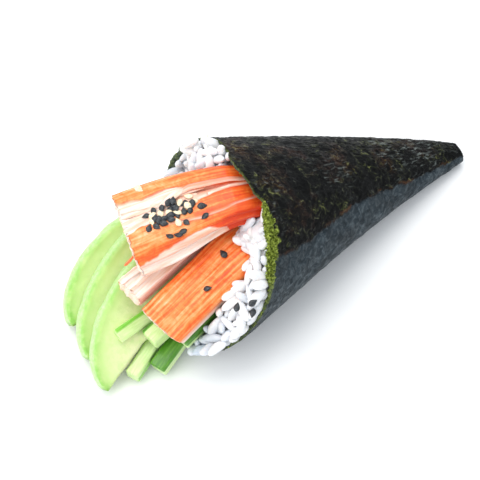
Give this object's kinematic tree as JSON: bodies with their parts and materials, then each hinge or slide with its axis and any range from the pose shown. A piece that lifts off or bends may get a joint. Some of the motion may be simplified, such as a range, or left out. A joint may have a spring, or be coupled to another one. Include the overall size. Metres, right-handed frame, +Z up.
{
  "type": "temaki hand roll",
  "caption": "Cone of rolled nori lying on its side, filled with rice, crab sticks, avocado slices and cucumber batons that stand out of its mouth.",
  "frame": {"origin": "middle of the bottom of the roll's box, on the surface it lies on", "axes": "+X along the cone towards its tip, +Z up; the mouth and the fillings face -X"},
  "size_m": [0.152, 0.0706, 0.0508],
  "materials": {
    "nori": "dark green to black dried seaweed, fibrous, softly glinting",
    "rice": "moist, slightly translucent white grains",
    "crab_stick": "moist, orange stripes on white fibrous strands",
    "avocado": "creamy, mint green at the skin's side to pale yellow",
    "cucumber": "moist pale flesh with green skin",
    "sesame_black": "satin",
    "sesame_white": "satin"
  },
  "bodies": {
    "root": {"nori_wrap": "nori", "rice": "rice", "crab_stick_upper": "crab_stick", "crab_stick_lower": "crab_stick", "crab_stick_half": "crab_stick", "avocado_slice_1": "avocado", "avocado_slice_2": "avocado", "avocado_slice_3": "avocado", "cucumber_baton_1": "cucumber", "cucumber_baton_2": "cucumber", "cucumber_baton_3": "cucumber", "cucumber_baton_4": "cucumber", "cucumber_baton_5": "cucumber"}
  },
  "joints": []
}
